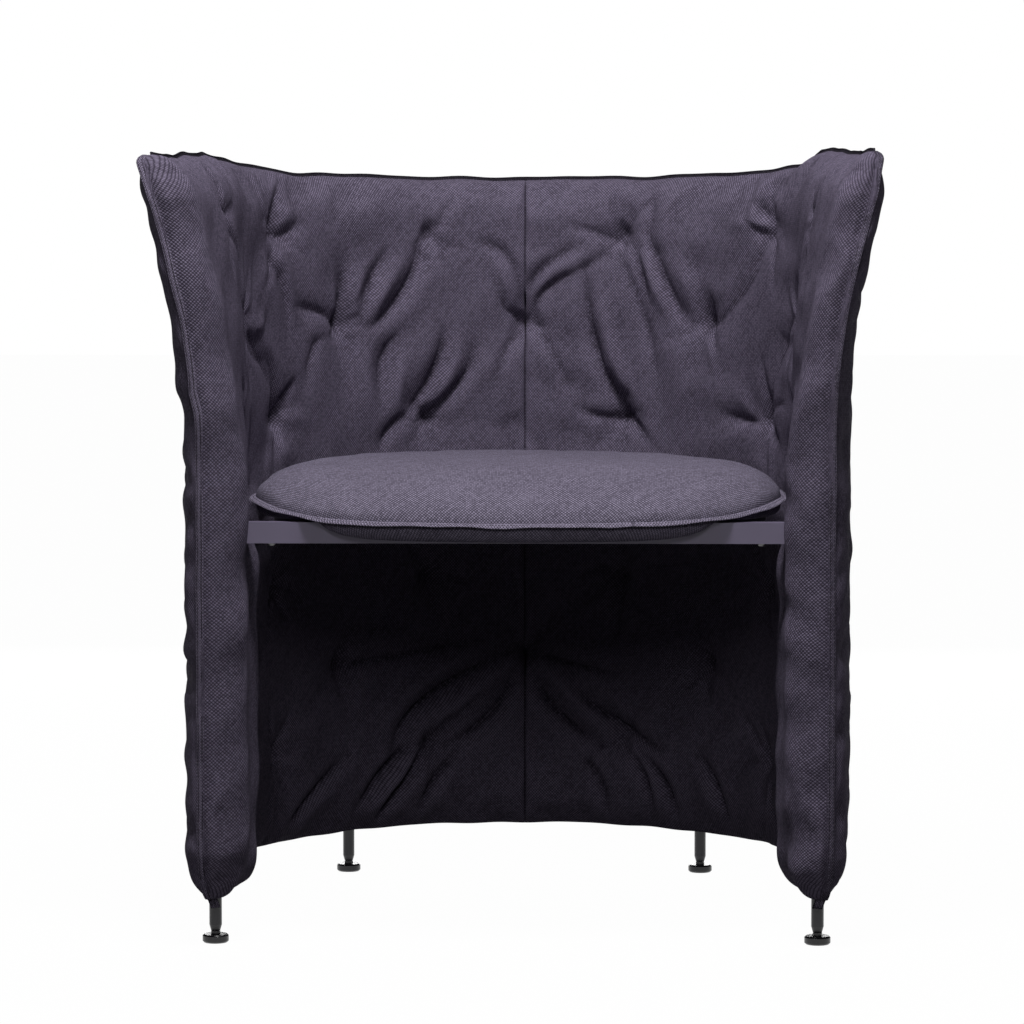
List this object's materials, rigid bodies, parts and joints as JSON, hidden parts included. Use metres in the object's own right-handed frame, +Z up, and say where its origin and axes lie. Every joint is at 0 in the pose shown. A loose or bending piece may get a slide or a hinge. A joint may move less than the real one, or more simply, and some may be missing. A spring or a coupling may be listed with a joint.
{
  "type": "lounge chair",
  "caption": "Lounge chair with a horseshoe-shaped tufted quilt hung round a thin tube frame, a loose rounded seat cushion and levelling glides.",
  "frame": {"origin": "on the floor under the middle of the chair's bounding box", "axes": "+Z up, the open front faces -Y, +X to the right as seen from the front"},
  "size_m": [0.6962, 0.6035, 0.7563],
  "materials": {
    "black_tube": "satin",
    "rail_paint": "satin",
    "screw_steel": "satin",
    "stud_steel": "satin",
    "glide_plastic": "satin",
    "quilt_cloth": "matte",
    "cushion_cloth": "matte",
    "seam_cloth": "matte",
    "thread": "matte",
    "wadding": "matte"
  },
  "bodies": {
    "frame": {"front_leg_left": "black_tube", "front_leg_right": "black_tube", "rear_leg_left": "black_tube", "rear_leg_right": "black_tube", "top_hoop": "black_tube", "lower_rail_left": "black_tube", "lower_rail_right": "black_tube", "lower_rail_back": "black_tube", "seat_ring": "black_tube", "rail_lug_left": "black_tube", "rail_lug_right": "black_tube", "rear_bar_left": "black_tube", "rear_bar_right": "black_tube", "front_rail": "rail_paint", "seat_plate": "rail_paint", "seat_screws": "screw_steel", "leg_insert_front_left": "glide_plastic", "leg_insert_front_right": "glide_plastic", "leg_insert_rear_left": "glide_plastic", "leg_insert_rear_right": "glide_plastic", "inner_cover_left": "quilt_cloth", "inner_cover_right": "quilt_cloth", "outer_cover_left": "quilt_cloth", "outer_cover_right": "quilt_cloth", "padding_left": "wadding", "padding_right": "wadding", "top_seam_flange": "seam_cloth", "front_seam_flange_left": "seam_cloth", "front_seam_flange_right": "seam_cloth", "tuft_ties": "thread"},
    "cushion": {"cushion_foam": "wadding", "cushion_top_cover": "cushion_cloth", "cushion_band_cover": "cushion_cloth", "cushion_seam_flange": "seam_cloth"},
    "glide_front_left": {"glide_pad_front_left": "glide_plastic", "glide_stud_front_left": "stud_steel"},
    "glide_front_right": {"glide_pad_front_right": "glide_plastic", "glide_stud_front_right": "stud_steel"},
    "glide_rear_left": {"glide_pad_rear_left": "glide_plastic", "glide_stud_rear_left": "stud_steel"},
    "glide_rear_right": {"glide_pad_rear_right": "glide_plastic", "glide_stud_rear_right": "stud_steel"}
  },
  "joints": [
    {"name": "cushion_lift", "type": "slide", "parent": "frame", "child": "cushion", "axis": [0, 0, 1], "range_m": [0, 0.36]},
    {"name": "glide_front_left_screw", "type": "slide", "parent": "frame", "child": "glide_front_left", "axis": [0, 0, 1], "range_m": [-0.01, 0]},
    {"name": "glide_front_right_screw", "type": "slide", "parent": "frame", "child": "glide_front_right", "axis": [0, 0, 1], "range_m": [-0.01, 0]},
    {"name": "glide_rear_left_screw", "type": "slide", "parent": "frame", "child": "glide_rear_left", "axis": [0, 0, 1], "range_m": [-0.01, 0]},
    {"name": "glide_rear_right_screw", "type": "slide", "parent": "frame", "child": "glide_rear_right", "axis": [0, 0, 1], "range_m": [-0.01, 0]}
  ]
}
